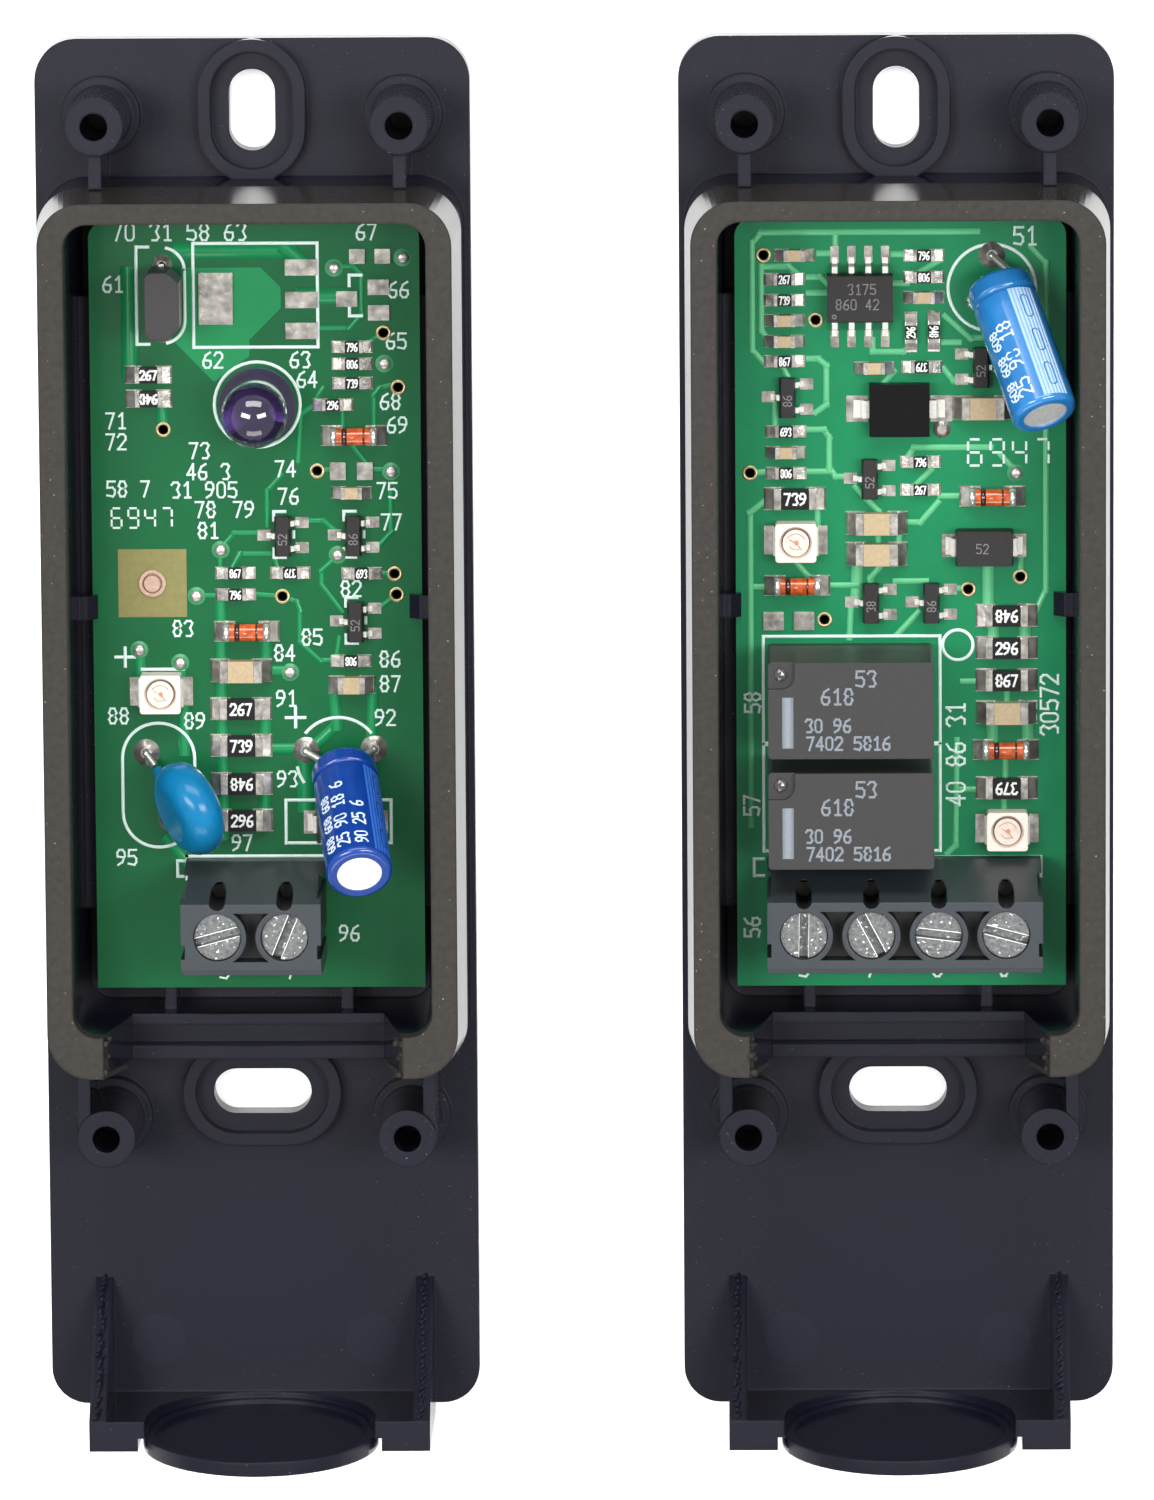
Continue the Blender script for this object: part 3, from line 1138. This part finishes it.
def can_frame(unit):
    """The can's own frame: Y along it towards its wires, Z out of its back."""
    tilt, heading = (math.radians(v) for v in can_set[unit][:2])
    to_wires = -Vector((math.cos(tilt) * math.cos(heading), math.cos(tilt) * math.sin(heading),
                        math.sin(tilt)))
    across = Vector((-math.sin(heading), math.cos(heading), 0))
    turn = Matrix((across, to_wires, across.cross(to_wires))).transposed().to_4x4()
    return Matrix.Translation(middle(unit + "_capacitor")) @ turn


def on_can(unit, lift):
    """Wraps a flat place round the can: x round it from its back, y along it towards its wires."""
    stance = can_frame(unit)

    def put(x, y, z):
        angle = x / can_r
        radius = (can_r + lift + z) * MM
        return stance @ Vector((math.sin(angle) * radius, y * MM, math.cos(angle) * radius))

    return put


can_rows = {
    "tx": (("608 608 608", -1.4, -4.9, 0.75), ("25 90 18 6", -0.1, -4.9, 0.95), ("90 25 6", 1.3, -4.9, 0.9)),
    "rx": (("608 608 608", -1.5, -4.9, 0.75), ("25 90 18", -0.2, -4.9, 1.1)),
}
stripe_places = {"tx": 2.9, "rx": 1.55}
stripe_low, stripe_high = -5.3, 3.8
stripe_line_w = 0.32
stripe_line_pitch = 0.3
stripe_lines = 7
lozenge_size = (0.6, 1.9, 0.29)
lozenge_w = 0.09
sleeve_number_w = 0.15
print_lift = 0.012
lozenge_lift = 0.03
can_end_share = 0.675
can_end_low, can_end_high = 0.4, 0.12
for unit in ("tx", "rx"):
    sleeve_finish, stripe_finish, end_finish, sleeve_slot = can_set[unit][2:]
    stripe_x = stripe_places[unit]
    first_x = stripe_x - stripe_line_pitch * (stripe_lines - 1) / 2
    stripe = [[(first_x + stripe_line_pitch * i, stripe_low), (first_x + stripe_line_pitch * i, stripe_high)]
              for i in range(stripe_lines)]
    printed_lines(unit + "_sleeve_stripe", stripe, stripe_line_w, ink_t, stripe_finish,
                  on_can(unit, print_lift), sleeve_slot, bend=True)
    lozenges = [rounded_box(stripe_x, y, *lozenge_size) for y in (-3.7, -0.7, 2.3)]
    printed_lines(unit + "_sleeve_lozenges", lozenges, lozenge_w, ink_t, sleeve_finish,
                  on_can(unit, lozenge_lift), sleeve_slot)
    numbers = [r for text, x, y, height in can_rows[unit] for r in number_routes(text, x, y, height, 90)]
    printed_lines(unit + "_sleeve_numbers", numbers, sleeve_number_w, ink_t, sleeve_print,
                  on_can(unit, print_lift), sleeve_slot, bend=True)
    stance = can_frame(unit)
    tube(unit + "_can_end", stance @ Vector((0, (can_end_low - can_l / 2) * MM, 0)),
         stance @ Vector((0, (can_end_high - can_l / 2) * MM, 0)), can_r * can_end_share * MM, end_finish,
         sleeve_slot, 48)

# Three-leg transistor
# A slim dark grey epoxy body with bevelled corners, held above the board on its three soldered legs.
leg_epoxy = surface("Grey epoxy", srgb(42, 40, 40), 0.45, bump=0.5, grain=0.12, edge=0.15, specular=0.3)
paint(leg_epoxy, "tx_transistor")

# Relays
# Sealed blocks in one satin dark plastic, with printed tops and a vent pip near one corner.
relay_top = surface("Relay case", srgb(46, 45, 45), 0.42, mottle=0.06, grain=0.1, bump=0.25, edge=0.12,
                    specular=0.3)
relay_print = surface("Relay print", srgb(116, 123, 131), 0.5, mottle=0.08, grain=0.2)
vent_pip = surface("Vent pip", srgb(60, 58, 58), 0.15, coat=0.8)
paint(relay_top, "rx_relay_1", "rx_relay_2")
relay_bar_w = 0.85
relay_number_w = 0.17
pip_inset = 0.95 * MM
pip_sunk = 0.52 * MM
pip_size = (1.1 * MM, 1.1 * MM, 0.7 * MM)
for number in (1, 2):
    node = f"rx_relay_{number}"
    put = on_top(node)
    printed_lines(node + "_bar", [[(-4.75, -2.4), (-4.75, 0.6)]], relay_bar_w, ink_t, relay_print, put,
                  "relay_case")
    text = number_routes("53", 0.4, 1.85, 1.15) + number_routes("618", -2.2, 0.5, 1.15)
    text += number_routes("30 96", -3.4, -1.6, 0.95) + number_routes("7402 5816", -3.3, -2.95, 0.95)
    printed_lines(node + "_numbers", text, relay_number_w, ink_t, relay_print, put, "relay_case")
    low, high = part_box(node)
    pip = Vector((low.x + pip_inset, high.y - pip_inset, high.z - pip_sunk))
    placed_copies(node + "_vent_pip", lump_form(rough=0.0, seed=1), [(pip, (0, 0, 0), pip_size)], vent_pip,
                  "relay_case")

# Terminal blocks
# Slate grey moulded blocks with a ring round each screw. The screws and cages are zinc-plated steel.
slate = surface("Slate terminal plastic", srgb(46, 52, 56), 0.38, bump=0.3, grain=0.1, edge=0.15, mottle=0.06,
                specular=0.35)
slate_deep = surface("Slate plastic in the wells", srgb(16, 17, 19), 0.6, mottle=0.06)
zinc = surface("Zinc plate", srgb(116, 118, 118), 0.36, metal=0.8, mottle=0.35, grain=0.3, bump=0.5,
               edge=0.06, specks=(0.26, 0.66, srgb(232, 238, 238)))
bar_in_shaft = surface("Tinned bar in its shaft", srgb(70, 70, 67), 0.45, metal=0.6, mottle=0.1)
slot_edge = surface("Bright slot edge", srgb(226, 226, 222), 0.25, metal=0.7)
paint(bar_in_shaft, "tx_contact_bars", "rx_contact_bars")
well_half_depth = 1.9 * MM
test_hole_y = (1.9 * MM, 4.1 * MM)
test_hole_half_w = 0.7 * MM
slot_angles = {"tx": (15, 68), "rx": (89, 118, -7, -15)}
slot_half_w = 0.36
slot_half_l = 1.62
slot_edge_w = 0.07
slot_edge_t = 0.015
rim_band = 0.1 * MM
shaft_steepness = 0.3


def in_a_well(unit, poles):
    """Picks the faces of a block that lie round its screws and inside its test holes."""
    axes = [middle(f"{unit}_screw_{pole}") for pole in range(1, poles + 1)]

    def choose(face, centre, size):
        ahead = face.center.y - axes[0].y
        if abs(ahead) < well_half_depth and face.center.z < centre.z + size.z / 2 - rim_band:
            return 1
        beside = min(abs(face.center.x - axis.x) for axis in axes)
        inside = test_hole_y[0] < ahead < test_hole_y[1] and beside < test_hole_half_w
        return int(inside and abs(face.normal.z) < shaft_steepness)

    return choose


for unit, poles in (("tx", 2), ("rx", 4)):
    split_finishes(unit + "_terminal_block", in_a_well(unit, poles), (slate, slate_deep),
                   "terminal_plastic")
    for pole, angle in zip(range(1, poles + 1), slot_angles[unit]):
        screw = f"{unit}_screw_{pole}"
        edges = [[turned(u, v, angle) for u in (-slot_half_l, slot_half_l)]
                 for v in (-slot_half_w, slot_half_w)]
        printed_lines(f"{unit}_slot_edges_{pole}", edges, slot_edge_w, slot_edge_t, slot_edge,
                      on_top(screw), "screw_steel", screw)
        paint(zinc, screw, f"{unit}_clamp_{pole}")

# Earth contact
# A square of bare tinned laminate with a round copper contact in its middle.
bare_laminate = surface("Bare laminate", srgb(118, 113, 66), 0.5, mottle=0.08, grain=0.5, specular=0.3)
post_copper = surface("Dull copper", srgb(170, 140, 126), 0.4, metal=0.6, bump=0.5, grain=0.2)
paint(post_copper, "tx_earth_post")
post = middle("tx_earth_post")
on_land = on_board("tx", 0.02)
land_side = 5.2
land_t = 0.025
board_middle = on_land(0, 0, 0)
land = bars((post.x - board_middle.x) / MM, (post.y - board_middle.y) / MM, land_side, land_side)[:-1]
field("tx_bare_square", land, bare_laminate, on_land, land_t, "board_laminate")
